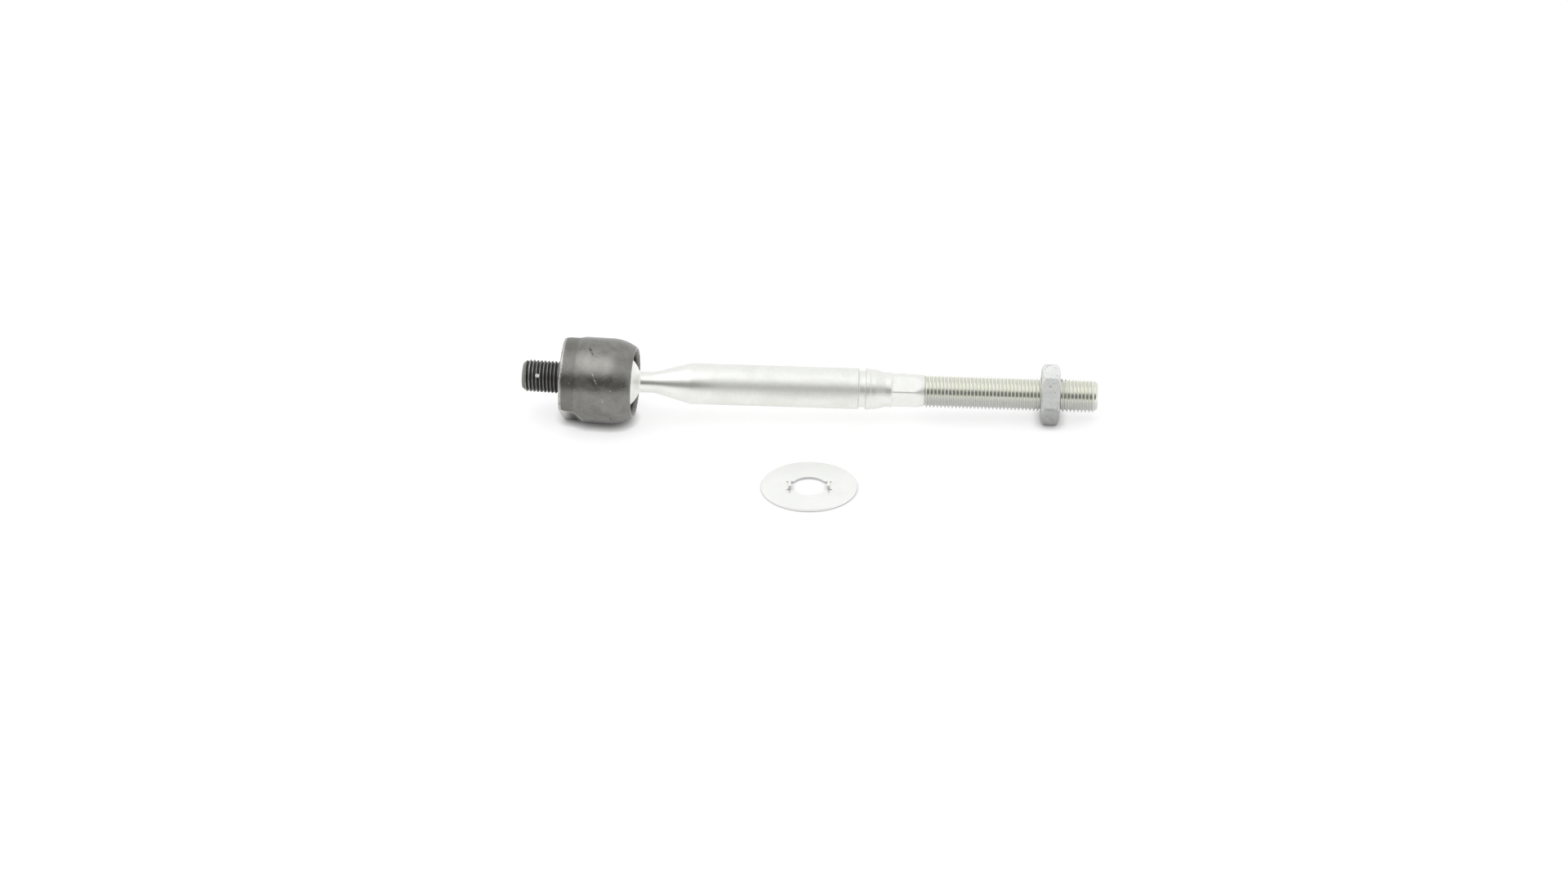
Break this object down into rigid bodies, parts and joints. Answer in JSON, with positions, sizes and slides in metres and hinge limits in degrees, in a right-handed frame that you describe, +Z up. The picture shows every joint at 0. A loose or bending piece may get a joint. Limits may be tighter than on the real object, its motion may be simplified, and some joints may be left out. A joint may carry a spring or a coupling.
{
  "type": "tie rod",
  "caption": "Inner steering tie rod: a ball-ended plated rod turning in a forged socket with a threaded rack stud, with a jam nut and a loose lock washer.",
  "frame": {"origin": "centre of the rack face, where the socket seats on the steering rack's end, on the stud's axis", "axes": "+X along the socket's axis from the stud to the mouth, the way the rod runs, +Z up as it lies on a flat surface; the rod itself is turned 8 degrees towards +Y and drops 2.1 degrees to its nut"},
  "size_m": [0.2319, 0.1014, 0.0348],
  "materials": {
    "housing_steel": "matte",
    "seat_plastic": "satin",
    "rod_zinc": "satin",
    "nut_zinc": "matte",
    "washer_zinc": "satin"
  },
  "bodies": {
    "socket": {"socket_housing": "housing_steel", "lock_washer": "washer_zinc"},
    "seat": {"ball_seat": "seat_plastic"},
    "rod": {"tie_rod": "rod_zinc"},
    "nut": {"jam_nut": "nut_zinc"}
  },
  "joints": [
    {"name": "ball_turn", "type": "hinge", "parent": "socket", "child": "seat", "pos_m": [0.0184, 0, 0], "axis": [1, 0, 0], "continuous": true},
    {"name": "ball_swing", "type": "hinge", "parent": "seat", "child": "rod", "pos_m": [0.0184, 0, 0], "axis": [0, 0.2504, 0.9681], "range_deg": [-33.26, 16.74]},
    {"name": "nut_travel", "type": "slide", "parent": "rod", "child": "nut", "axis": [0.9896, 0.1391, -0.036], "range_m": [-0.0462, 0.0154]}
  ]
}
